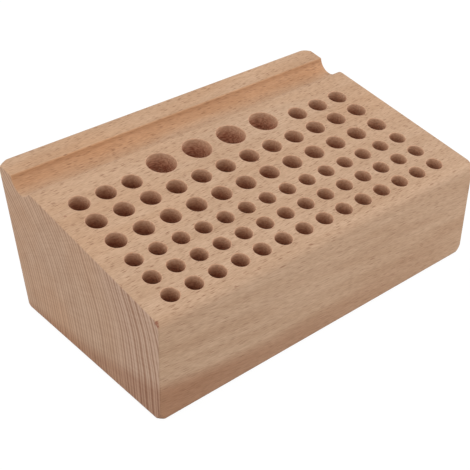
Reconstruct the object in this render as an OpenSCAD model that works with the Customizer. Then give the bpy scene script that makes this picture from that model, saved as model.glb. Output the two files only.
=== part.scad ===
// Wooden tool holder block: one piece of beech with a sloped top, a lengthwise groove and six rows of tool sockets.
// Millimetres. X runs along the rows, Y runs from the front to the rear, Z is up.
// The origin is on the resting face, in the middle of the block's box.

/* [Block] */
// Height of the front face up to the sloped top
front_height = 65.5; // [50:0.2:90]
// Tilt of the top, rising to the rear
top_slope = 9.4; // [4:0.02:16]
// Outward lean of the rear face
rear_lean = 12.2; // [0:0.1:18]
// Wood between the middle of the last socket in the longest row and the end of the block
end_margin = 19.6; // [12:0.1:30]

/* [Rounded edges] */
// Front edge of the sloped top
front_top_round = 6; // [1:0.5:8]
// Rear edge of the sloped top
rear_top_round = 3; // [1:0.5:6]
// Rear edge of the resting face
rear_base_round = 7.5; // [1:0.5:10]
// Front edge of the resting face
front_base_round = 3; // [1:0.5:6]
// Edges of both ends along the top and the front face
end_round = 1.5; // [0.5:0.5:4]
// Edges of both ends along the rear face
rear_end_round = 5; // [0.5:0.5:8]
// Edges of both ends along the resting face
base_end_round = 2.5; // [0.5:0.5:4]

/* [Groove] */
// Radius of the groove's round bottom
groove_radius = 9; // [7.5:0.5:12]
// Depth of the groove below the sloped top
groove_depth = 6.5; // [3:0.1:7.5]
// Round of the groove's front lip
groove_lip_round = 4; // [1:0.5:6]
// From the side sockets of the rear row to the middle of the groove
groove_step = 29.9; // [26:0.1:40]
// Width of the rib behind the groove, before its edges are rounded
rib_width = 17; // [10:0.1:30]
// Round of the rib's front edge
rib_round = 1.5; // [0.5:0.5:3]

/* [Sockets] */
// Depth of the small and medium sockets down to the drill point, square to the sloped top
socket_depth = 40; // [20:0.1:46]
// Depth of the large sockets down to the drill point
large_depth = 40.2; // [20:0.1:46]
// Angle of the drill point at the bottom of every socket
point_angle = 118; // [90:2:150]
// Ease of the rim of the small and medium sockets
rim_ease = 0.4; // [0.2:0.1:1]
// Ease of the rim of the large sockets
large_rim_ease = 0.5; // [0.2:0.1:1]
// Diameter of the small sockets
small_bore = 10; // [6:0.5:12]
// Diameter of the medium sockets
medium_bore = 12; // [8:0.5:14]
// Diameter of the large sockets
large_bore = 18; // [12:0.5:21]
// Shift of all the rows along the block
row_shift = -2.3; // [-4:0.1:4]

/* [Front rows of small sockets] */
// Sockets in each of the three rows
small_count = 14; // [4:1:20]
// Spacing along a row
small_pitch = 15.45; // [13:0.05:20]
// From the front edge to the first row, along the slope
small_front = 12.8; // [10:0.1:20]
// From the first row to the second
small_step_1 = 15; // [13:0.1:20]
// From the second row to the third
small_step_2 = 15.2; // [13:0.1:20]

/* [Middle rows of medium sockets] */
// Sockets in each of the two rows
medium_count = 12; // [4:1:16]
// Spacing along a row
medium_pitch = 18.08; // [15:0.02:24]
// From the last small row to the first medium row
medium_front = 16.8; // [14:0.1:24]
// From the first medium row to the second
medium_step = 17.8; // [15:0.1:24]

/* [Rear row] */
// Medium sockets at each side
side_count = 3; // [1:1:5]
// Spacing of the side sockets
side_pitch = 17.6; // [15:0.1:24]
// From the last side socket on the left to the first one on the right
side_gap = 127.5; // [115:0.5:150]
// From the last medium row to the side sockets
side_step = 16.6; // [15:0.1:24]
// Large sockets between them
large_count = 4; // [1:1:4]
// Spacing of the large sockets
large_pitch = 26.2; // [22:0.1:30]
// How far the large sockets sit behind the side sockets
large_setback = 4.8; // [0:0.1:8]

/* [Hidden] */
$fn = 96;

beech = [0.80, 0.65, 0.49];
// how far a cutting shape reaches past the surface that it cuts
over = 4;
// rounds are cut this much fuller, so that they cross the faces that they meet
fuller = 0.01;

function unit(v) = v / norm(v);

// rows, measured up the slope from the front edge before it is rounded
small_row_1 = small_front;
small_row_2 = small_row_1 + small_step_1;
small_row_3 = small_row_2 + small_step_2;
medium_row_1 = small_row_3 + medium_front;
medium_row_2 = medium_row_1 + medium_step;
side_row = medium_row_2 + side_step;
large_row = side_row + large_setback;

// the groove, and the whole length of the slope
groove_row = side_row + groove_step;
groove_hub_height = groove_radius - groove_depth;
groove_half_width = sqrt(pow(groove_radius, 2) - pow(groove_hub_height, 2));
slope_length = groove_row + groove_half_width + rib_width;

// the longest row sets the length of the block
side_span = side_gap + 2 * (side_count - 1) * side_pitch;
row_span = max((small_count - 1) * small_pitch, (medium_count - 1) * medium_pitch, side_span);
block_length = row_span + 2 * end_margin;

// point of the end profile at a distance up the slope and a height over it: Y from the front face, Z from the base
function on_slope(along, above) = [
    along * cos(top_slope) - above * sin(top_slope),
    front_height + along * sin(top_slope) + above * cos(top_slope)
];

// corners of the end profile before they are rounded
front_base = [0, 0];
front_top = [0, front_height];
rear_top = on_slope(slope_length, 0);
rear_base = [rear_top[0] - rear_top[1] * tan(rear_lean), 0];

// middle of the round in a corner that lies between two neighbours
function round_middle(corner, first, second, radius) =
    let (a = unit(first - corner), b = unit(second - corner))
    corner + unit(a + b) * radius / sqrt((1 - a * b) / 2);

// the rear top round reaches furthest to the rear
profile_depth = round_middle(rear_top, rear_base, front_top, rear_top_round)[0] + rear_top_round;

// Waste outside the round in a corner of a profile.
module corner_waste(corner, first, second, radius) {
    a = unit(first - corner);
    b = unit(second - corner);
    middle = round_middle(corner, first, second, radius);
    touch = (middle - corner) * a;
    difference() {
        polygon([
            middle,
            middle + unit(corner + a * touch - middle) * (radius + over),
            corner - unit(a + b) * 2 * over,
            middle + unit(corner + b * touch - middle) * (radius + over)
        ]);
        translate(middle) circle(r = radius + fuller);
    }
}

// Waste over the edge where the groove meets the top: side is -1 for the front lip and 1 for the rib.
module lip_waste(side, radius) {
    reach = sqrt(pow(groove_radius + radius, 2) - pow(groove_hub_height + radius, 2));
    middle_along = groove_row + side * reach;
    difference() {
        polygon([
            on_slope(middle_along, -radius),
            on_slope(middle_along, over),
            on_slope(groove_row, over),
            on_slope(groove_row, groove_hub_height)
        ]);
        translate(on_slope(middle_along, -radius)) circle(r = radius + fuller);
    }
}

// End profile of the block with its rounded corners and the groove.
module end_profile() {
    difference() {
        polygon([front_base, rear_base, rear_top, front_top]);
        corner_waste(front_base, front_top, rear_base, front_base_round);
        corner_waste(rear_base, front_base, rear_top, rear_base_round);
        corner_waste(rear_top, rear_base, front_top, rear_top_round);
        corner_waste(front_top, rear_top, front_base, front_top_round);
        translate(on_slope(groove_row, groove_hub_height)) circle(r = groove_radius);
        lip_waste(-1, groove_lip_round);
        lip_waste(1, rib_round);
    }
}

// Waste along both end edges of one long face that passes through a point of the end profile.
module end_edge_waste(point, turn, radius) {
    end = [block_length / 2, 0];
    translate([0, point[0], point[1]])
        rotate([turn + 90, 0, 0])
            linear_extrude(height = 3 * profile_depth, center = true)
                for (side = [0, 1])
                    mirror([side, 0])
                        corner_waste(end, [0, 0], [end[0], -end[0]], radius);
}

// One socket, square to the sloped top: an eased rim, a straight wall and a drill point.
module socket(along, x, bore, depth, ease) {
    mouth = on_slope(along, 0);
    radius = bore / 2;
    translate([x + row_shift, mouth[0], mouth[1]])
        rotate([top_slope, 0, 0])
            rotate_extrude()
                polygon([
                    [0, -depth - radius / tan(point_angle / 2)],
                    [radius, -depth],
                    [radius, -ease],
                    [radius + ease + over, over],
                    [0, over]
                ]);
}

// A row of evenly spaced sockets.
module socket_row(along, count, pitch, bore, depth = socket_depth, ease = rim_ease) {
    for (i = [0 : count - 1])
        socket(along, (i - (count - 1) / 2) * pitch, bore, depth, ease);
}

// The medium sockets at both sides of the rear row.
module side_sockets() {
    for (side = [-1, 1])
        for (i = [0 : side_count - 1])
            socket(side_row, side * (side_gap / 2 + i * side_pitch), medium_bore, socket_depth, rim_ease);
}

// The block: rounded profile, eased ends, groove and sockets.
module holder_block() {
    color(beech)
        translate([0, -profile_depth / 2, 0])
            difference() {
                rotate([90, 0, 90])
                    linear_extrude(height = block_length, center = true)
                        end_profile();
                end_edge_waste(front_top, top_slope, end_round);
                end_edge_waste(front_top, 90, end_round);
                end_edge_waste(rear_top, -90 - rear_lean, rear_end_round);
                end_edge_waste(front_base, 180, base_end_round);
                socket_row(small_row_1, small_count, small_pitch, small_bore);
                socket_row(small_row_2, small_count, small_pitch, small_bore);
                socket_row(small_row_3, small_count, small_pitch, small_bore);
                socket_row(medium_row_1, medium_count, medium_pitch, medium_bore);
                socket_row(medium_row_2, medium_count, medium_pitch, medium_bore);
                side_sockets();
                socket_row(large_row, large_count, large_pitch, large_bore, large_depth, large_rim_ease);
            }
}

holder_block();
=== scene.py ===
"""A solid beech tool holder block on a white studio table."""
from math import asin, atan2, cos, pi, radians, sin, sqrt, tan

import bpy
from mathutils import Matrix, Vector


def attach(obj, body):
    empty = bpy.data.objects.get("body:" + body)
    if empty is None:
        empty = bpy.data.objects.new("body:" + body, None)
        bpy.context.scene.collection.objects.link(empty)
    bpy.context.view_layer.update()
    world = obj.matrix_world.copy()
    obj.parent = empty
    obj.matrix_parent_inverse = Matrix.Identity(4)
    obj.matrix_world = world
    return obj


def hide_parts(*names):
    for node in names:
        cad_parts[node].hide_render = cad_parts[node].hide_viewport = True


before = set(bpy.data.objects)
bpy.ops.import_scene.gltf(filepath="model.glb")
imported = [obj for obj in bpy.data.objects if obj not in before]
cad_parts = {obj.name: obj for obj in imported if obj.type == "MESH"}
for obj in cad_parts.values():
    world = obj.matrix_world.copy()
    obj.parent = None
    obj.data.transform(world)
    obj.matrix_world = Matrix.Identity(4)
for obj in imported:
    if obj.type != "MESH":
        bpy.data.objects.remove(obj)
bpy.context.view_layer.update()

MM = 0.001

# sizes of the block in millimetres, as in the solid
FRONT_HEIGHT = 65.5
TOP_SLOPE = radians(9.4)
REAR_LEAN = radians(12.2)
BLOCK_LENGTH = 240.05
FRONT_TOP_ROUND = 6
REAR_TOP_ROUND = 3
FRONT_BASE_ROUND = 3
REAR_END_ROUND = 5
BASE_END_ROUND = 2.5

# rounds that are fuller under the rear face, and crisper at the ends and the rib, than in the solid
REAR_BASE_ROUND = 13
END_ROUND = 0.8
RIB_ROUND = 1

# balls that round corners of the ends: how deep their middle lies inside the three faces, and their radius
FRONT_CORNER_DEPTH = 8.5
FRONT_CORNER_BALL = 11.8
REAR_CORNER_DEPTH = 9
REAR_CORNER_BALL = 13.8

# the groove, its distance up the slope, and the rib behind it
GROOVE_RADIUS = 9
GROOVE_DEPTH = 6.5
GROOVE_LIP_ROUND = 4
GROOVE_ROW = 124.1
RIB_WIDTH = 17

# the sockets: shift of all the rows along the block, drill point, diameters, depths and sides of the mesh
ROW_SHIFT = -2.3
POINT_ANGLE = radians(118)
SMALL_BORE = 10
MEDIUM_BORE = 12
LARGE_BORE = 18
SOCKET_DEPTH = {SMALL_BORE: 40, MEDIUM_BORE: 40, LARGE_BORE: 40.2}
SOCKET_SIDES = {SMALL_BORE: 40, MEDIUM_BORE: 48, LARGE_BORE: 64}
# distance up the slope, number, spacing and diameter of each even row of sockets
EVEN_ROWS = [
    (12.8, 14, 15.45, SMALL_BORE),
    (27.8, 14, 15.45, SMALL_BORE),
    (43.0, 14, 15.45, SMALL_BORE),
    (59.8, 12, 18.08, MEDIUM_BORE),
    (77.6, 12, 18.08, MEDIUM_BORE),
    (99.0, 4, 26.2, LARGE_BORE),
]
# the medium sockets at both sides of the large ones
SIDE_ROW = 94.2
SIDE_GAP = 127.5
SIDE_PITCH = 17.6
SIDE_COUNT = 3

# the rim of a socket is a quarter round, in steps that stop 20 degrees short of lying flat in the top
RIM_ROUND = 0.6
RIM_TURNS = (20, 45, 70)
# above the top, the cutter of a socket flares on at about that slope
FLARE_HEIGHT = 0.5
FLARE_WIDTH = 1.3

# corners of a mesh that lie this close to each other or to a face count as touching
NEAR = 0.01
# the rounds of the ends are cut this much fuller, so that they cross the faces that they meet
FULLER = 1.002
# edges that turn by more than this stay sharp
SHARP_TURN = radians(38)

# towards the right end, the grain dips by 6 degrees and turns by 1.5 degrees to the rear
GRAIN_TURN = (0, radians(6), radians(1.5))
# the heart of the tree, from the origin, and the spacing of the growth rings around it
HEART_BEHIND = 135
HEART_BELOW = 2
FINE_RING_GAP = 2.6
BOLD_RING_GAP = 5.2
# two dark specks, and torn fibres at the top of the front left edge: place, radius and strength
SPECKS = [((-112.8, 15.1, 80.8), 0.9, 0.5), ((-69.1, -71.7, 64.4), 0.7, 0.35)]
TORN_EDGE = [((-119.2, -71, 65.9), 1.8, 0.75), ((-119.2, -72.1, 64.3), 1.1, 0.75)]


def on_slope(along, above):
    """Y from the front face and Z from the table, at a distance up the slope and a height over it."""
    return Vector((along * cos(TOP_SLOPE) - above * sin(TOP_SLOPE),
                   FRONT_HEIGHT + along * sin(TOP_SLOPE) + above * cos(TOP_SLOPE)))


def groove_corners():
    """The groove before its rounds: lip, bottom and rib edge, each as a place along and over the slope."""
    hub = GROOVE_RADIUS - GROOVE_DEPTH
    flanks = []
    for lip_round in (GROOVE_LIP_ROUND, RIB_ROUND):
        steep = pi / 2 - asin((hub + lip_round) / (GROOVE_RADIUS + lip_round))
        reach = sqrt((GROOVE_RADIUS + lip_round) ** 2 - (hub + lip_round) ** 2)
        flanks.append((reach - lip_round * tan(steep / 2), 1 / tan(steep)))
    (front_reach, front_run), (rib_reach, rib_run) = flanks
    bottom = (front_reach + rib_reach) / (front_run + rib_run)
    return [
        (GROOVE_ROW - front_reach, 0),
        (GROOVE_ROW - front_reach + bottom * front_run, -bottom),
        (GROOVE_ROW + rib_reach, 0),
    ]


GROOVE_HALF_WIDTH = sqrt(GROOVE_RADIUS ** 2 - (GROOVE_RADIUS - GROOVE_DEPTH) ** 2)
REAR_TOP = on_slope(GROOVE_ROW + GROOVE_HALF_WIDTH + RIB_WIDTH, 0)
REAR_BASE = Vector((REAR_TOP.x - REAR_TOP.y * tan(REAR_LEAN), 0))
LIP, BOTTOM, RIB = [on_slope(*corner) for corner in groove_corners()]
# the outline of the left end: each corner before it is rounded, and its round
OUTLINE = [
    (Vector((0, 0)), FRONT_BASE_ROUND),
    (REAR_BASE, REAR_BASE_ROUND),
    (REAR_TOP, REAR_TOP_ROUND),
    (RIB, RIB_ROUND),
    (BOTTOM, GROOVE_RADIUS),
    (LIP, GROOVE_LIP_ROUND),
    (Vector((0, FRONT_HEIGHT)), FRONT_TOP_ROUND),
]
# places of two corners in that list
FRONT_BASE_CORNER = 0
REAR_TOP_CORNER = 2


def corner_round(number):
    """Start, finish and middle of the round in one corner of the outline."""
    corner, radius = OUTLINE[number]
    before = (OUTLINE[number - 1][0] - corner).normalized()
    after = (OUTLINE[(number + 1) % len(OUTLINE)][0] - corner).normalized()
    half = before.angle(after) / 2
    touch = radius / tan(half)
    middle = corner + (before + after).normalized() * radius / sin(half)
    return corner + before * touch, corner + after * touch, middle


# the round over the rear face reaches furthest to the rear, and the origin is in the middle of the depth
HALF_DEPTH = (corner_round(REAR_TOP_CORNER)[2].x + REAR_TOP_ROUND) / 2


def deselect_all():
    bpy.ops.object.select_all(action="DESELECT")


def select_only(*pieces):
    deselect_all()
    for piece in pieces:
        piece.select_set(True)
    bpy.context.view_layer.objects.active = pieces[0]


def apply_modifier(piece, kind, **settings):
    select_only(piece)
    bpy.ops.object.modifier_add(type=kind)
    modifier = piece.modifiers[-1]
    for name, value in settings.items():
        setattr(modifier, name, value)
    bpy.ops.object.modifier_apply(modifier=modifier.name)


def cut_away(piece, cutter):
    """Takes a cutter's shape out of a piece and removes the cutter. Its material stays on the cut."""
    keep = "TRANSFER" if cutter.data.materials else "INDEX"
    apply_modifier(piece, "BOOLEAN", operation="DIFFERENCE", solver="EXACT", material_mode=keep,
                   object=cutter)
    select_only(cutter)
    bpy.ops.object.delete()


def end_point(flat):
    """A point of the left end's outline, in metres in the block's frame."""
    return Vector((-BLOCK_LENGTH / 2, flat.x - HALF_DEPTH, flat.y)) * MM


def drawn_outline(round_steps):
    """The outline of the left end, drawn with one vertex: straight moves, and a spin in each corner."""
    deselect_all()
    bpy.ops.mesh.primitive_plane_add(size=MM)
    outline = bpy.context.object
    bpy.ops.object.mode_set(mode="EDIT")
    bpy.ops.mesh.select_all(action="SELECT")
    bpy.ops.mesh.merge(type="CENTER")
    place = Vector((0, 0, 0))
    for number in range(len(OUTLINE)):
        start, finish, middle = [end_point(flat) for flat in corner_round(number)]
        move = {"value": start - place}
        if number == 0:
            bpy.ops.transform.translate(**move)
        else:
            bpy.ops.mesh.extrude_region_move(TRANSFORM_OT_translate=move)
        first = atan2(start.z - middle.z, start.y - middle.y)
        last = atan2(finish.z - middle.z, finish.y - middle.y)
        turn = (last - first + pi) % (2 * pi) - pi
        bpy.ops.mesh.spin(steps=round_steps, angle=-turn, center=middle, axis=(1, 0, 0))
        place = finish
    bpy.ops.mesh.select_all(action="SELECT")
    bpy.ops.mesh.remove_doubles(threshold=NEAR * MM)
    bpy.ops.mesh.edge_face_add()
    bpy.ops.object.mode_set(mode="OBJECT")
    return outline


def select_in_edit(piece, parts, wanted):
    """Opens a piece in edit mode and selects the edges or faces whose corners all pass a test of place."""
    select_only(piece)
    bpy.ops.object.mode_set(mode="EDIT")
    bpy.ops.mesh.select_mode(type="EDGE" if parts == "edges" else "FACE")
    bpy.ops.mesh.select_all(action="DESELECT")
    bpy.ops.object.mode_set(mode="OBJECT")
    for part in getattr(piece.data, parts):
        part.select = all(wanted(piece.data.vertices[corner].co) for corner in part.vertices)
    bpy.ops.object.mode_set(mode="EDIT")


def edge_waste(radius):
    """What comes off a square edge to round it: a bar along Z, hollowed by the round about the origin."""
    deselect_all()
    bpy.ops.mesh.primitive_cube_add(size=2 * radius * MM, location=(radius * MM, radius * MM, 0))
    waste = bpy.context.object
    bpy.ops.transform.resize(value=(1, 1, BLOCK_LENGTH / radius))
    bpy.ops.object.transform_apply(location=True, scale=True)
    deselect_all()
    bpy.ops.mesh.primitive_cylinder_add(vertices=80, radius=FULLER * radius * MM,
                                        depth=3 * BLOCK_LENGTH * MM)
    cut_away(waste, bpy.context.object)
    return waste


def round_end_edges(blank, on_face, outward, radius):
    """Rounds both end edges of a long face, given by a point of the outline on it and where it looks."""
    looks = Vector((0, outward.x, outward.y))
    for side in (-1, 1):
        waste = edge_waste(radius)
        along = Vector((side, 0, 0))
        turned = Matrix((along, looks, along.cross(looks))).transposed().to_4x4()
        edge = Vector((side * (BLOCK_LENGTH / 2 - radius), on_face.x - HALF_DEPTH, on_face.y))
        hub = edge - looks * radius
        waste.matrix_world = Matrix.Translation(hub * MM) @ turned
        select_only(waste)
        bpy.ops.object.transform_apply(location=True, rotation=True)
        cut_away(blank, waste)


def inside_corner(number, depth):
    """A point of the outline's plane at the same depth inside both sides of one corner."""
    corner, radius = OUTLINE[number]
    return corner + (corner_round(number)[2] - corner) * depth / radius


def ease_corner(blank, side, number, depth, radius):
    """Rounds one corner of an end to a ball, its middle equally deep inside the end and two long faces."""
    flat = inside_corner(number, depth)
    middle = Vector((side * (BLOCK_LENGTH / 2 - depth), flat.x - HALF_DEPTH, flat.y)) * MM
    outward = [side, 1 if middle.y > 0 else -1, 1 if flat.y > FRONT_HEIGHT / 2 else -1]
    reach = 1.5 * radius * MM
    # the cube's inner corner lies a little past the ball's middle, away from the rings of its mesh
    offset = 0.99 * reach
    deselect_all()
    bpy.ops.mesh.primitive_cube_add(size=2 * reach, location=middle + offset * Vector(outward))
    waste = bpy.context.object
    deselect_all()
    bpy.ops.mesh.primitive_uv_sphere_add(segments=64, ring_count=32, radius=radius * MM, location=middle)
    cut_away(waste, bpy.context.object)
    cut_away(blank, waste)


def planed_blank():
    """The block before drilling: the end outline drawn out along X, with the edges of both ends rounded."""
    blank = drawn_outline(round_steps=12)
    bpy.ops.object.mode_set(mode="EDIT")
    bpy.ops.mesh.select_all(action="SELECT")
    bpy.ops.mesh.extrude_region_move(TRANSFORM_OT_translate={"value": (BLOCK_LENGTH * MM, 0, 0)})
    bpy.ops.mesh.select_all(action="SELECT")
    bpy.ops.mesh.normals_make_consistent(inside=False)
    bpy.ops.object.mode_set(mode="OBJECT")
    end = (BLOCK_LENGTH / 2 - NEAR) * MM
    for side in (-1, 1):
        select_in_edit(blank, "edges", lambda place: side * place.x > end)
        bpy.ops.mesh.bevel(offset=END_ROUND * MM, segments=4, profile=0.5, affect="EDGES",
                           clamp_overlap=False)
        bpy.ops.object.mode_set(mode="OBJECT")
    round_end_edges(blank, Vector((0, 0)), Vector((0, -1)), BASE_END_ROUND)
    round_end_edges(blank, REAR_TOP, Vector((cos(REAR_LEAN), -sin(REAR_LEAN))), REAR_END_ROUND)
    for side in (-1, 1):
        ease_corner(blank, side, FRONT_BASE_CORNER, FRONT_CORNER_DEPTH, FRONT_CORNER_BALL)
        ease_corner(blank, side, REAR_TOP_CORNER, REAR_CORNER_DEPTH, REAR_CORNER_BALL)
    return blank


def socket_cutter(bore):
    """One socket as a solid, its mouth at the origin: straight wall, drill point and flared rim."""
    radius = bore / 2
    depth = SOCKET_DEPTH[bore]
    deselect_all()
    bpy.ops.mesh.primitive_cylinder_add(vertices=SOCKET_SIDES[bore], radius=radius * MM,
                                        depth=(depth - RIM_ROUND) * MM,
                                        location=(0, 0, -(depth + RIM_ROUND) / 2 * MM))
    cutter = bpy.context.object
    bpy.ops.object.transform_apply(location=True)
    select_in_edit(cutter, "polygons", lambda place: place.z > -(RIM_ROUND + NEAR) * MM)
    width, height = radius, -RIM_ROUND
    for turn in RIM_TURNS:
        next_width = radius + RIM_ROUND * (1 - cos(radians(turn)))
        next_height = RIM_ROUND * (sin(radians(turn)) / sin(radians(RIM_TURNS[-1])) - 1)
        rise = {"value": (0, 0, (next_height - height) * MM)}
        bpy.ops.mesh.extrude_region_move(TRANSFORM_OT_translate=rise)
        scale = next_width / width
        bpy.ops.transform.resize(value=(scale, scale, 1))
        width, height = next_width, next_height
    bpy.ops.mesh.extrude_region_move(TRANSFORM_OT_translate={"value": (0, 0, FLARE_HEIGHT * MM)})
    flare = (width + FLARE_WIDTH) / width
    bpy.ops.transform.resize(value=(flare, flare, 1))
    bpy.ops.object.mode_set(mode="OBJECT")
    select_in_edit(cutter, "polygons", lambda place: place.z < -(depth - NEAR) * MM)
    drill_point = {"value": (0, 0, -radius / tan(POINT_ANGLE / 2) * MM)}
    bpy.ops.mesh.extrude_region_move(TRANSFORM_OT_translate=drill_point)
    bpy.ops.mesh.merge(type="CENTER")
    bpy.ops.object.mode_set(mode="OBJECT")
    return cutter


def socket_places():
    """Each socket's place along the block, its distance up the slope and its diameter."""
    places = []
    for along, count, pitch, bore in EVEN_ROWS:
        places += [((number - (count - 1) / 2) * pitch, along, bore) for number in range(count)]
    for side in (-1, 1):
        for number in range(SIDE_COUNT):
            places.append((side * (SIDE_GAP / 2 + number * SIDE_PITCH), SIDE_ROW, MEDIUM_BORE))
    return places


def all_sockets():
    """All the sockets as one cutter, square to the sloped top."""
    models = {bore: socket_cutter(bore) for bore in (SMALL_BORE, MEDIUM_BORE, LARGE_BORE)}
    # painted light: the deep walls of the wide sockets are paler, with bolder fibres, as more light falls
    # into them
    narrow = drilled_beech("drilled_beech", ("#95583b", "#b87d5c"))
    wide = drilled_beech("wide_drilled_beech_painted_lighter", ("#a5664a", "#d8a383"))
    for bore, model in models.items():
        model.data.materials.append(wide if bore == LARGE_BORE else narrow)
    sockets = []
    for x, along, bore in socket_places():
        select_only(models[bore])
        bpy.ops.object.duplicate(linked=False)
        socket = bpy.context.object
        mouth = on_slope(along, 0)
        socket.location = Vector((x + ROW_SHIFT, mouth.x - HALF_DEPTH, mouth.y)) * MM
        socket.rotation_euler = (TOP_SLOPE, 0, 0)
        sockets.append(socket)
    select_only(*models.values())
    bpy.ops.object.delete()
    select_only(*sockets)
    bpy.ops.object.join()
    cutter = bpy.context.object
    bpy.ops.object.transform_apply(location=True, rotation=True, scale=True)
    return cutter


def linear(hex_colour):
    """A colour written as sRGB hex, as the linear values that nodes take."""
    values = [int(hex_colour[i:i + 2], 16) / 255 for i in (1, 3, 5)]
    return [v / 12.92 if v <= 0.04045 else ((v + 0.055) / 1.055) ** 2.4 for v in values] + [1]


def add_node(tree, kind, inputs, **settings):
    """Adds a node with its settings. An input is a value, or a socket to link from."""
    made = tree.nodes.new(kind)
    for name, value in settings.items():
        setattr(made, name, value)
    for name, value in inputs.items():
        if isinstance(value, bpy.types.NodeSocket):
            tree.links.new(value, made.inputs[name])
        else:
            made.inputs[name].default_value = value
    return made


def new_material(name):
    material = bpy.data.materials.new(name)
    material.use_nodes = True
    tree = material.node_tree
    return material, tree, tree.nodes["Principled BSDF"]


def place_camera():
    """The camera at the photograph's place: its right, up and backward directions and its eye."""
    camera = bpy.data.objects.new("photo_camera", bpy.data.cameras.new("photo_camera"))
    bpy.context.scene.collection.objects.link(camera)
    right = Vector((0.762307, -0.647114, 0.011431))
    up = Vector((0.343633, 0.419643, 0.840129))
    back = Vector((-0.548456, -0.636508, 0.542267))
    eye = Vector((-362.97, -395.86, 394.13))
    turned = Matrix((right, up, back)).transposed().to_4x4()
    camera.matrix_world = Matrix.Translation(eye * MM) @ turned
    camera.data.sensor_width = 36
    camera.data.lens = 82.467
    camera.data.shift_x = 0.04255
    camera.data.shift_y = -0.0638
    camera.data.clip_start = 0.01
    bpy.context.scene.camera = camera


def point_in_millimetres(tree, place):
    """Object coordinates in millimetres, so that patterns are scaled by real sizes."""
    return add_node(tree, "ShaderNodeMapping", {
        "Vector": place.outputs["Object"], "Scale": (1000, 1000, 1000)}).outputs[0]


def heart_of_the_tree(tree, point):
    """Each point's distance from the heart of the tree, which ran along X, and its angle there."""
    from_heart = add_node(tree, "ShaderNodeMapping", {
        "Vector": point, "Location": (0, -HEART_BEHIND, HEART_BELOW), "Scale": (0, 1, 1)}).outputs[0]
    length = add_node(tree, "ShaderNodeVectorMath", {0: from_heart}, operation="LENGTH").outputs["Value"]
    # the rings sway by a few millimetres, over about 60 mm
    sway = add_node(tree, "ShaderNodeTexNoise", {
        "Vector": point, "Scale": 1 / 60, "Detail": 2}).outputs["Fac"]
    distance = add_node(tree, "ShaderNodeMath", {
        0: sway, 1: 7, 2: length}, operation="MULTIPLY_ADD").outputs[0]
    across = add_node(tree, "ShaderNodeSeparateXYZ", {"Vector": from_heart}).outputs
    angle = add_node(tree, "ShaderNodeMath", {
        0: across["Z"], 1: across["Y"]}, operation="ARCTAN2").outputs[0]
    return distance, angle


def streaked_wood(tree, point, distance):
    """The ground colour of the wood: pale streaks along the grain, and warmer zones nearer the heart."""
    # streaks of lighter and darker wood, 80 mm long and 9 mm wide
    streak_place = add_node(tree, "ShaderNodeMapping", {
        "Vector": point, "Rotation": GRAIN_TURN, "Scale": (80, 9, 9)}, vector_type="TEXTURE").outputs[0]
    streak = add_node(tree, "ShaderNodeTexNoise", {
        "Vector": streak_place, "Scale": 1, "Detail": 4}).outputs["Fac"]
    streak = add_node(tree, "ShaderNodeMapRange", {
        "Value": streak, "From Min": 0.3, "From Max": 0.7}).outputs[0]
    colour = add_node(tree, "ShaderNodeMix", {
        "Factor": streak, "A": linear("#bb987b"), "B": linear("#c9a88c")},
        data_type="RGBA").outputs["Result"]

    # warmer zones, about 160 mm long and 45 mm wide
    warm_strength = add_node(tree, "ShaderNodeMapRange", {
        "Value": distance, "From Min": 205, "From Max": 120, "To Min": 0.05, "To Max": 0.6}).outputs[0]
    warm_place = add_node(tree, "ShaderNodeMapping", {
        "Vector": point, "Rotation": GRAIN_TURN, "Scale": (160, 45, 45)}, vector_type="TEXTURE").outputs[0]
    warm = add_node(tree, "ShaderNodeTexNoise", {
        "Vector": warm_place, "Scale": 1, "Detail": 3}).outputs["Fac"]
    warm = add_node(tree, "ShaderNodeMapRange", {
        "Value": warm, "From Min": 0.4, "From Max": 0.65, "To Max": warm_strength}).outputs[0]
    return add_node(tree, "ShaderNodeMix", {
        "Factor": warm, "A": colour, "B": linear("#c5966f")}, data_type="RGBA").outputs["Result"]


def growth_rings(tree, distance):
    """Fine rings, and bold ones in the outer wood, all a little unevenly spaced."""
    unevenness = add_node(tree, "ShaderNodeTexNoise", {
        "W": distance, "Scale": 1 / 5, "Detail": 3}, noise_dimensions="1D").outputs["Fac"]
    uneven_distance = add_node(tree, "ShaderNodeMath", {
        0: unevenness, 1: 3, 2: distance}, operation="MULTIPLY_ADD").outputs[0]
    from_fine = add_node(tree, "ShaderNodeMath", {
        0: uneven_distance, 1: FINE_RING_GAP / 2}, operation="PINGPONG").outputs[0]
    fine_ring = add_node(tree, "ShaderNodeMapRange", {
        "Value": from_fine, "From Min": 0.8, "From Max": 0.1, "To Max": 0.66}).outputs[0]
    from_bold = add_node(tree, "ShaderNodeMath", {
        0: uneven_distance, 1: BOLD_RING_GAP / 2}, operation="PINGPONG").outputs[0]
    bold_ring = add_node(tree, "ShaderNodeMapRange", {
        "Value": from_bold, "From Min": 1.3, "From Max": 0.1, "To Max": 0.9},
        interpolation_type="SMOOTHSTEP").outputs[0]
    outer_wood = add_node(tree, "ShaderNodeMapRange", {
        "Value": distance, "From Min": 176, "From Max": 186}).outputs[0]
    bold_ring = add_node(tree, "ShaderNodeMath", {
        0: bold_ring, 1: outer_wood}, operation="MULTIPLY").outputs[0]
    return add_node(tree, "ShaderNodeMath", {0: bold_ring, 1: fine_ring}, operation="MAXIMUM").outputs[0]


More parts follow.
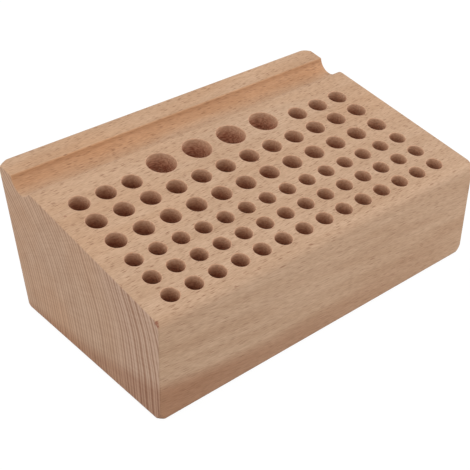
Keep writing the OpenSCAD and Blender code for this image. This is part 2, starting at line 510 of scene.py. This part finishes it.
def ringed_ends(tree, colour, distance, angle, end_grain):
    """Adds growth rings and the rays across them, which show on the ends and faintly on the long faces."""
    # the ends are a little greyer and pinker, most of all in the outer wood at the front
    outer_wood = add_node(tree, "ShaderNodeMapRange", {
        "Value": distance, "From Min": 172, "From Max": 192, "To Min": 0.35, "To Max": 0.85}).outputs[0]
    grey = add_node(tree, "ShaderNodeMath", {0: outer_wood, 1: end_grain}, operation="MULTIPLY").outputs[0]
    colour = add_node(tree, "ShaderNodeMix", {
        "Factor": grey, "A": colour, "B": linear("#c8a892")}, data_type="RGBA").outputs["Result"]

    # rays run across the rings, 15 mm long, and 1.3 mm apart at 150 mm from the heart
    ray_place = add_node(tree, "ShaderNodeCombineXYZ", {"X": angle, "Y": distance}).outputs[0]
    ray_place = add_node(tree, "ShaderNodeMapping", {
        "Vector": ray_place, "Scale": (1.3 / 150, 15, 1)}, vector_type="TEXTURE").outputs[0]
    ray = add_node(tree, "ShaderNodeTexNoise", {
        "Vector": ray_place, "Scale": 1, "Detail": 1}, noise_dimensions="2D").outputs["Fac"]
    ray = add_node(tree, "ShaderNodeMapRange", {
        "Value": ray, "From Min": 0.4, "From Max": 0.7, "To Max": 0.14}).outputs[0]

    rings = growth_rings(tree, distance)
    end_lines = add_node(tree, "ShaderNodeMath", {0: rings, 1: ray}, operation="ADD").outputs[0]
    line_strength = add_node(tree, "ShaderNodeMapRange", {
        "Value": end_grain, "To Min": 0.1, "To Max": 0.8}).outputs[0]
    line_dark = add_node(tree, "ShaderNodeMath", {
        0: end_lines, 1: line_strength}, operation="MULTIPLY").outputs[0]
    return add_node(tree, "ShaderNodeMix", {
        "Factor": line_dark, "A": colour, "B": linear("#8e6449")}, data_type="RGBA").outputs["Result"]


def red_base(tree, colour, point, end_grain):
    """Darkens and reddens the colour under a wide arc along the base, less to the right and on the ends."""
    from_arc = add_node(tree, "ShaderNodeMapping", {
        "Vector": point, "Location": (15, 0, -560), "Rotation": (radians(8), 0, 0)}).outputs[0]
    from_arc = add_node(tree, "ShaderNodeVectorMath", {0: from_arc}, operation="LENGTH").outputs["Value"]
    red = add_node(tree, "ShaderNodeMapRange", {
        "Value": from_arc, "From Min": 556, "From Max": 566}, interpolation_type="SMOOTHSTEP").outputs[0]
    along = add_node(tree, "ShaderNodeSeparateXYZ", {"Vector": point}).outputs["X"]
    left_strength = add_node(tree, "ShaderNodeMapRange", {
        "Value": along, "From Min": -BLOCK_LENGTH / 2, "From Max": BLOCK_LENGTH / 2,
        "To Min": 1.05, "To Max": 0}).outputs[0]
    red = add_node(tree, "ShaderNodeMath", {0: red, 1: left_strength}, operation="MULTIPLY").outputs[0]
    end_strength = add_node(tree, "ShaderNodeMapRange", {
        "Value": end_grain, "To Min": 1, "To Max": 0.7}).outputs[0]
    red = add_node(tree, "ShaderNodeMath", {0: red, 1: end_strength}, operation="MULTIPLY").outputs[0]
    return add_node(tree, "ShaderNodeMix", {
        "Factor": red, "A": colour, "B": (0.74, 0.6, 0.53, 1)},
        data_type="RGBA", blend_type="MULTIPLY").outputs["Result"]


def shaded_groove(tree, colour, point, facing, side_grain):
    """Paints shade in the groove: the steep side darker and warmer, darkest in a line under the edge of the
    rib.
    """
    hub = on_slope(GROOVE_ROW, GROOVE_RADIUS - GROOVE_DEPTH)
    from_hub = add_node(tree, "ShaderNodeMapping", {
        "Vector": point, "Location": (0, HALF_DEPTH - hub.x, -hub.y), "Scale": (0, 1, 1)}).outputs[0]
    from_hub = add_node(tree, "ShaderNodeVectorMath", {0: from_hub}, operation="LENGTH").outputs["Value"]
    in_groove = add_node(tree, "ShaderNodeMapRange", {
        "Value": from_hub, "From Min": GROOVE_RADIUS + 1, "From Max": GROOVE_RADIUS + 0.2}).outputs[0]
    # painted shade: the steep side of the groove, facing the front, is darkened and warmed
    steep = add_node(tree, "ShaderNodeMapRange", {
        "Value": facing["Y"], "From Min": 0.1, "From Max": -0.65}).outputs[0]
    warm = add_node(tree, "ShaderNodeMath", {0: in_groove, 1: steep}, operation="MULTIPLY").outputs[0]
    warm = add_node(tree, "ShaderNodeMath", {0: warm, 1: side_grain}, operation="MULTIPLY").outputs[0]
    colour = add_node(tree, "ShaderNodeMix", {
        "Factor": warm, "A": colour, "B": (0.98, 0.86, 0.75, 1)},
        data_type="RGBA", blend_type="MULTIPLY").outputs["Result"]
    # painted shade: a dark line under the edge of the rib
    shade_under_rib = add_node(tree, "ShaderNodeMapRange", {
        "Value": facing["Y"], "From Min": -0.88, "From Max": -0.99, "To Max": 0.5}).outputs[0]
    shade_under_rib = add_node(tree, "ShaderNodeMath", {
        0: shade_under_rib, 1: in_groove}, operation="MULTIPLY").outputs[0]
    return add_node(tree, "ShaderNodeMix", {
        "Factor": shade_under_rib, "A": colour, "B": linear("#95653f")}, data_type="RGBA").outputs["Result"]


def fine_grain(tree, colour, point, side_grain):
    """Adds light and dark dashes along the grain, about 5 mm long and half a millimetre wide."""
    grain_place = add_node(tree, "ShaderNodeMapping", {
        "Vector": point, "Rotation": GRAIN_TURN, "Scale": (5, 0.5, 0.5)}, vector_type="TEXTURE").outputs[0]
    grain = add_node(tree, "ShaderNodeTexNoise", {
        "Vector": grain_place, "Scale": 1, "Detail": 1}).outputs["Fac"]
    grain = add_node(tree, "ShaderNodeMapRange", {
        "Value": grain, "From Min": 0.3, "From Max": 0.7}).outputs[0]
    grain_tone = add_node(tree, "ShaderNodeMix", {
        "Factor": grain, "A": (1.1, 1.11, 1.12, 1), "B": (0.9, 0.88, 0.85, 1)},
        data_type="RGBA").outputs["Result"]
    return add_node(tree, "ShaderNodeMix", {
        "Factor": side_grain, "A": colour, "B": grain_tone},
        data_type="RGBA", blend_type="MULTIPLY").outputs["Result"]


def ray_flecks(tree, point, side_grain):
    """Flecks of the wood's rays on the long faces: spindles about 5 mm long and half a millimetre wide."""
    fleck_place = add_node(tree, "ShaderNodeMapping", {
        "Vector": point, "Rotation": GRAIN_TURN, "Scale": (7.5, 0.75, 0.75)},
        vector_type="TEXTURE").outputs[0]
    cell = add_node(tree, "ShaderNodeTexVoronoi", {"Vector": fleck_place, "Scale": 1}).outputs
    fleck = add_node(tree, "ShaderNodeMapRange", {
        "Value": cell["Distance"], "From Min": 0.41, "From Max": 0.15}).outputs[0]
    boldness = add_node(tree, "ShaderNodeSeparateColor", {"Color": cell["Color"]}).outputs[0]
    fleck = add_node(tree, "ShaderNodeMath", {0: fleck, 1: boldness}, operation="MULTIPLY").outputs[0]
    return add_node(tree, "ShaderNodeMath", {0: fleck, 1: side_grain}, operation="MULTIPLY").outputs[0]


def dark_spots(tree, colour, point):
    """Adds the specks and the torn edge, with ragged outlines."""
    ragged = add_node(tree, "ShaderNodeTexNoise", {
        "Vector": point, "Scale": 1 / 1.5, "Detail": 1}).outputs["Color"]
    ragged = add_node(tree, "ShaderNodeVectorMath", {
        0: ragged, 1: (1.6, 1.6, 1.6), 2: point}, operation="MULTIPLY_ADD").outputs[0]
    for place, radius, strength in SPECKS + TORN_EDGE:
        from_spot = add_node(tree, "ShaderNodeVectorMath", {
            0: ragged, 1: place}, operation="DISTANCE").outputs["Value"]
        spot = add_node(tree, "ShaderNodeMapRange", {
            "Value": from_spot, "From Min": radius, "From Max": 0.6 * radius,
            "To Max": strength}).outputs[0]
        colour = add_node(tree, "ShaderNodeMix", {
            "Factor": spot, "A": colour, "B": linear("#8a4f3a")}, data_type="RGBA").outputs["Result"]
    return colour


def planed_beech():
    """Beech, planed and sanded: pale tan and dull, with rings on the ends and flecks along the grain."""
    material, tree, shader = new_material("planed_beech")
    place = add_node(tree, "ShaderNodeTexCoord", {})
    point = point_in_millimetres(tree, place)
    facing = add_node(tree, "ShaderNodeSeparateXYZ", {"Vector": place.outputs["Normal"]}).outputs
    end_facing = add_node(tree, "ShaderNodeMath", {0: facing["X"]}, operation="ABSOLUTE").outputs[0]
    end_grain = add_node(tree, "ShaderNodeMapRange", {
        "Value": end_facing, "From Min": 0.7, "From Max": 0.95}).outputs[0]
    side_grain = add_node(tree, "ShaderNodeMath", {0: 1, 1: end_grain}, operation="SUBTRACT").outputs[0]

    distance, angle = heart_of_the_tree(tree, point)
    colour = streaked_wood(tree, point, distance)
    colour = ringed_ends(tree, colour, distance, angle, end_grain)
    colour = red_base(tree, colour, point, end_grain)
    # painted shade in the groove
    colour = shaded_groove(tree, colour, point, facing, side_grain)
    colour = fine_grain(tree, colour, point, side_grain)

    # the flecks are boldest on the top
    fleck = ray_flecks(tree, point, side_grain)
    fleck_strength = add_node(tree, "ShaderNodeMapRange", {
        "Value": facing["Z"], "To Min": 0.6, "To Max": 1}).outputs[0]
    fleck_dark = add_node(tree, "ShaderNodeMath", {
        0: fleck, 1: fleck_strength}, operation="MULTIPLY").outputs[0]
    colour = add_node(tree, "ShaderNodeMix", {
        "Factor": fleck_dark, "A": colour, "B": linear("#8a5f43")}, data_type="RGBA").outputs["Result"]
    colour = dark_spots(tree, colour, point)

    # the flecks are a little sunken
    bump = add_node(tree, "ShaderNodeBump", {
        "Height": fleck, "Strength": 0.4, "Distance": 0.2 * MM}, invert=True)
    tree.links.new(colour, shader.inputs["Base Color"])
    tree.links.new(bump.outputs["Normal"], shader.inputs["Normal"])
    shader.inputs["Roughness"].default_value = 0.75
    shader.inputs["Specular IOR Level"].default_value = 0.3
    return material


def drilled_beech(name, deep_shade_colours):
    """Beech inside the sockets: the drill leaves a rougher wall, with torn fibres, and painted shade makes
    the wall darker and redder with depth.
    """
    material, tree, shader = new_material(name)
    point = point_in_millimetres(tree, add_node(tree, "ShaderNodeTexCoord", {}))
    # fibres torn by the drill, about 4 mm long and 1 mm wide
    fibre_place = add_node(tree, "ShaderNodeMapping", {
        "Vector": point, "Scale": (4, 1, 1)}, vector_type="TEXTURE").outputs[0]
    fibre = add_node(tree, "ShaderNodeTexNoise", {
        "Vector": fibre_place, "Scale": 1, "Detail": 3}).outputs["Fac"]
    torn = add_node(tree, "ShaderNodeMapRange", {
        "Value": fibre, "From Min": 0.35, "From Max": 0.65}).outputs[0]
    # painted shade: the wall gets darker and redder with depth below the slope, from 1 mm to 8 mm
    up_slope = (0, -sin(TOP_SLOPE), cos(TOP_SLOPE))
    height = add_node(tree, "ShaderNodeVectorMath", {
        0: point, 1: up_slope}, operation="DOT_PRODUCT").outputs["Value"]
    mouth = HALF_DEPTH * sin(TOP_SLOPE) + FRONT_HEIGHT * cos(TOP_SLOPE)
    deep = add_node(tree, "ShaderNodeMapRange", {
        "Value": height, "From Min": mouth - 1, "From Max": mouth - 8}).outputs[0]
    upper = add_node(tree, "ShaderNodeMix", {
        "Factor": torn, "A": linear("#c29474"), "B": linear("#d3ac8d")}, data_type="RGBA").outputs["Result"]
    dark, light = [linear(colour) for colour in deep_shade_colours]
    lower = add_node(tree, "ShaderNodeMix", {
        "Factor": torn, "A": dark, "B": light}, data_type="RGBA").outputs["Result"]
    colour = add_node(tree, "ShaderNodeMix", {
        "Factor": deep, "A": upper, "B": lower}, data_type="RGBA").outputs["Result"]
    bump = add_node(tree, "ShaderNodeBump", {"Height": fibre, "Strength": 0.7, "Distance": 0.4 * MM})
    tree.links.new(colour, shader.inputs["Base Color"])
    tree.links.new(bump.outputs["Normal"], shader.inputs["Normal"])
    shader.inputs["Roughness"].default_value = 0.75
    return material


def holder_block():
    """The finished block: planed blank, drilled, with smooth rounds and flat faces."""
    block = planed_blank()
    block.data.materials.append(planed_beech())
    cut_away(block, all_sockets())
    block.name = "beech_block"
    select_only(block)
    bpy.ops.object.shade_smooth_by_angle(angle=SHARP_TURN)
    apply_modifier(block, "WEIGHTED_NORMAL", keep_sharp=True, weight=100)
    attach(block, "root")
    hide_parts("holder_block")


def seen_directly(tree):
    """1 for what the camera sees directly, mirrored or through glass, and 0 for light on its way."""
    rays = add_node(tree, "ShaderNodeLightPath", {}).outputs
    mirrored = add_node(tree, "ShaderNodeMath", {
        0: rays["Is Camera Ray"], 1: rays["Is Glossy Ray"]}, operation="ADD").outputs[0]
    return add_node(tree, "ShaderNodeMath", {
        0: mirrored, 1: rays["Is Transmission Ray"]}, operation="ADD", use_clamp=True).outputs[0]


def studio_table():
    """A white table that shows nearly white and keeps a faint shadow of the block."""
    deselect_all()
    bpy.ops.mesh.primitive_plane_add(size=6)
    table = bpy.context.object
    table.name = "studio_table"
    material, tree, shader = new_material("white_table")
    shader.inputs["Base Color"].default_value = linear("#b8b8b8")
    shader.inputs["Roughness"].default_value = 0.9
    white = add_node(tree, "ShaderNodeEmission", {"Color": linear("#ffffff"), "Strength": 1.15})
    lifted = add_node(tree, "ShaderNodeMath", {0: seen_directly(tree), 1: 0.82}, operation="MULTIPLY")
    mixed = add_node(tree, "ShaderNodeMixShader", {
        0: lifted.outputs[0], 1: shader.outputs[0], 2: white.outputs[0]})
    tree.links.new(mixed.outputs[0], tree.nodes["Material Output"].inputs["Surface"])
    table.data.materials.append(material)


def white_room(strength):
    """A room that looks white and gives even, soft light."""
    world = bpy.data.worlds.new("white_room")
    bpy.context.scene.world = world
    world.use_nodes = True
    tree = world.node_tree
    level = add_node(tree, "ShaderNodeMapRange", {
        "Value": seen_directly(tree), "To Min": strength, "To Max": 1})
    background = tree.nodes["Background"]
    background.inputs["Color"].default_value = linear("#ffffff")
    tree.links.new(level.outputs[0], background.inputs["Strength"])


def soft_lamp(name, place, size, power):
    """A square soft light that points at the middle of the block."""
    lamp = bpy.data.objects.new(name, bpy.data.lights.new(name, "AREA"))
    bpy.context.scene.collection.objects.link(lamp)
    lamp.data.size = size
    lamp.data.energy = power
    lamp.location = place
    block_middle = Vector((0, 0, 0.04))
    lamp.rotation_euler = (block_middle - Vector(place)).to_track_quat("-Z", "Y").to_euler()


bpy.context.scene.view_settings.view_transform = "Standard"
place_camera()
holder_block()
studio_table()
white_room(strength=0.86)
soft_lamp("high_softbox", place=(-0.3, -0.1, 1.2), size=0.6, power=1.1)
soft_lamp("front_right_softbox", place=(0.8, -0.55, 0.25), size=0.5, power=2.9)
soft_lamp("left_softbox", place=(-1.1, 0.3, 0.6), size=0.8, power=2.4)
